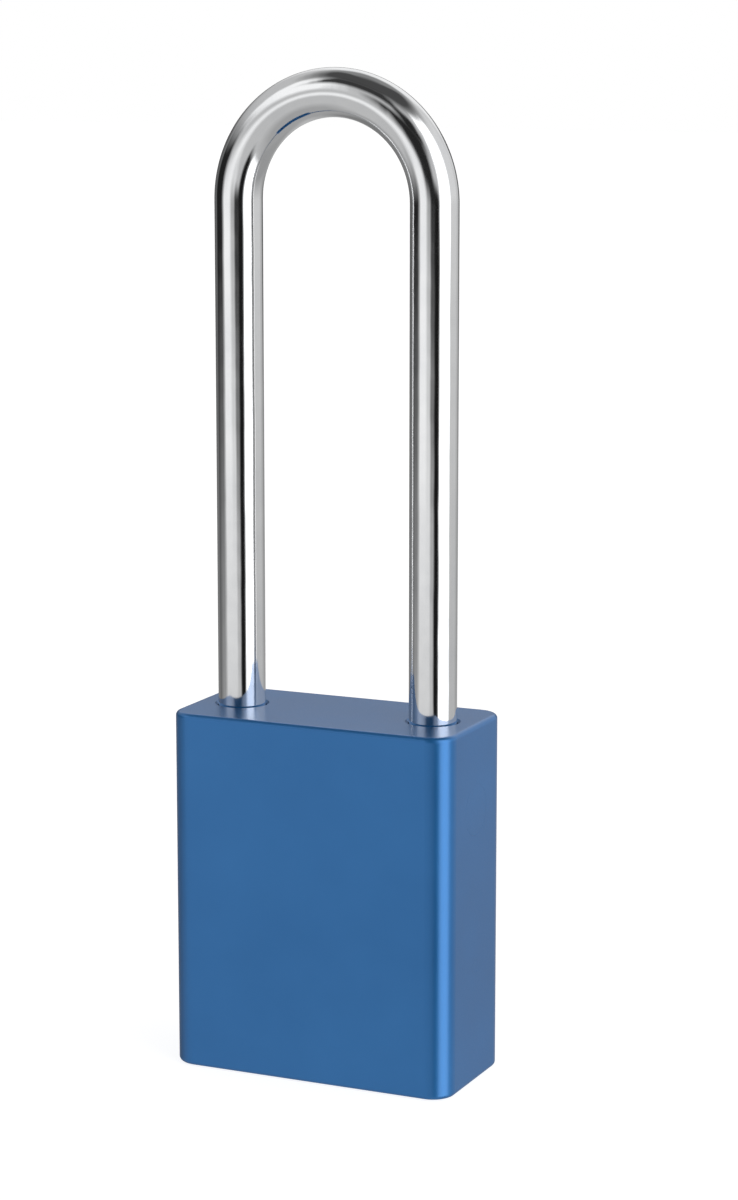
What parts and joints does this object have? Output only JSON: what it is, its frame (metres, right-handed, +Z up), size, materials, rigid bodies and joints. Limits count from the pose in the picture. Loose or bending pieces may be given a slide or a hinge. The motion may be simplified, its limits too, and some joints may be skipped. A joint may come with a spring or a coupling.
{
  "type": "padlock",
  "caption": "Key-operated padlock: rectangular anodised body with a long chromed shackle locked by two balls.",
  "frame": {"origin": "middle of the body's flat bottom, where the keyway opens", "axes": "+Z up along the shackle's legs, +X towards the toe leg, -Y out of the plain front face"},
  "size_m": [0.0382, 0.0184, 0.1256],
  "materials": {
    "blue_anodised": "satin blue anodised",
    "bright_chrome": "bright chrome plate",
    "ball_steel": "polished bearing steel",
    "sintered_steel": "matt sintered steel",
    "spring_steel": "drawn stainless wire",
    "brass": "machined brass",
    "pin_nickel": "turned nickel silver"
  },
  "bodies": {
    "case": {"lock_body": "blue_anodised", "cross_bore_plug": "blue_anodised", "cylinder_retaining_pin": "blue_anodised", "cylinder_shell": "brass", "chamber_caps": "brass", "shackle_spring": "spring_steel", "pin_spring_1": "spring_steel", "pin_spring_2": "spring_steel", "pin_spring_3": "spring_steel", "pin_spring_4": "spring_steel", "pin_spring_5": "spring_steel"},
    "shackle": {"shackle": "bright_chrome"},
    "plug": {"cylinder_plug": "brass", "plug_clip": "spring_steel", "plug_tail": "sintered_steel"},
    "actuator": {"actuator": "sintered_steel"},
    "toe_ball": {"toe_ball": "ball_steel"},
    "heel_ball": {"heel_ball": "ball_steel"},
    "key_pin_1": {"key_pin_1": "pin_nickel"},
    "key_pin_2": {"key_pin_2": "pin_nickel"},
    "key_pin_3": {"key_pin_3": "pin_nickel"},
    "key_pin_4": {"key_pin_4": "pin_nickel"},
    "key_pin_5": {"key_pin_5": "pin_nickel"},
    "driver_pin_1": {"driver_pin_1": "pin_nickel"},
    "driver_pin_2": {"driver_pin_2": "pin_nickel"},
    "driver_pin_3": {"driver_pin_3": "pin_nickel"},
    "driver_pin_4": {"driver_pin_4": "pin_nickel"},
    "driver_pin_5": {"driver_pin_5": "pin_nickel"}
  },
  "joints": [
    {"name": "plug_turn", "type": "hinge", "parent": "case", "child": "plug", "pos_m": [0, 0, 0.0003], "axis": [0, 0, 1], "range_deg": [-90, 0]},
    {"name": "actuator_turn", "type": "hinge", "parent": "case", "child": "actuator", "pos_m": [0, 0, 0.0351], "axis": [0, 0, 1], "range_deg": [-90, 0]},
    {"name": "toe_ball_slide", "type": "slide", "parent": "case", "child": "toe_ball", "axis": [1, 0, 0], "range_m": [0, 0.0008]},
    {"name": "heel_ball_slide", "type": "slide", "parent": "case", "child": "heel_ball", "axis": [-1, 0, 0], "range_m": [0, 0.0008]},
    {"name": "shackle_lift", "type": "slide", "parent": "case", "child": "shackle", "axis": [0, 0, 1], "range_m": [0, 0.0172], "deforming": ["shackle_spring"]},
    {"name": "key_pin_1_drop", "type": "slide", "parent": "plug", "child": "key_pin_1", "axis": [0, -1, 0], "range_m": [0, 0.00105]},
    {"name": "key_pin_2_drop", "type": "slide", "parent": "plug", "child": "key_pin_2", "axis": [0, -1, 0], "range_m": [0, 0.00205]},
    {"name": "key_pin_3_drop", "type": "slide", "parent": "plug", "child": "key_pin_3", "axis": [0, -1, 0], "range_m": [0, 0.00155]},
    {"name": "key_pin_4_drop", "type": "slide", "parent": "plug", "child": "key_pin_4", "axis": [0, -1, 0], "range_m": [0, 0.00285]},
    {"name": "key_pin_5_drop", "type": "slide", "parent": "plug", "child": "key_pin_5", "axis": [0, -1, 0], "range_m": [0, 0.00235]},
    {"name": "driver_pin_1_press", "type": "slide", "parent": "case", "child": "driver_pin_1", "axis": [1, 0, 0], "range_m": [0, 0.0015], "stiffness_N_per_m": 100, "springref_m": -0.001, "deforming": ["pin_spring_1"]},
    {"name": "driver_pin_2_press", "type": "slide", "parent": "case", "child": "driver_pin_2", "axis": [1, 0, 0], "range_m": [0, 0.0015], "stiffness_N_per_m": 100, "springref_m": -0.001, "deforming": ["pin_spring_2"]},
    {"name": "driver_pin_3_press", "type": "slide", "parent": "case", "child": "driver_pin_3", "axis": [1, 0, 0], "range_m": [0, 0.0015], "stiffness_N_per_m": 100, "springref_m": -0.001, "deforming": ["pin_spring_3"]},
    {"name": "driver_pin_4_press", "type": "slide", "parent": "case", "child": "driver_pin_4", "axis": [1, 0, 0], "range_m": [0, 0.0015], "stiffness_N_per_m": 100, "springref_m": -0.001, "deforming": ["pin_spring_4"]},
    {"name": "driver_pin_5_press", "type": "slide", "parent": "case", "child": "driver_pin_5", "axis": [1, 0, 0], "range_m": [0, 0.0015], "stiffness_N_per_m": 100, "springref_m": -0.001, "deforming": ["pin_spring_5"]}
  ],
  "couplings": [
    {"joint": "actuator_turn", "follows": "plug_turn", "ratio": 1},
    {"joint": "toe_ball_slide", "follows": "plug_turn", "m_per_rad": -0.0005093},
    {"joint": "heel_ball_slide", "follows": "plug_turn", "m_per_rad": -0.0005093},
    {"joint": "key_pin_2_drop", "follows": "key_pin_1_drop", "ratio": 1.9531},
    {"joint": "key_pin_3_drop", "follows": "key_pin_1_drop", "ratio": 1.4766},
    {"joint": "key_pin_4_drop", "follows": "key_pin_1_drop", "ratio": 2.7156},
    {"joint": "key_pin_5_drop", "follows": "key_pin_1_drop", "ratio": 2.239},
    {"joint": "driver_pin_2_press", "follows": "driver_pin_1_press", "ratio": 1},
    {"joint": "driver_pin_3_press", "follows": "driver_pin_1_press", "ratio": 1},
    {"joint": "driver_pin_4_press", "follows": "driver_pin_1_press", "ratio": 1},
    {"joint": "driver_pin_5_press", "follows": "driver_pin_1_press", "ratio": 1}
  ]
}
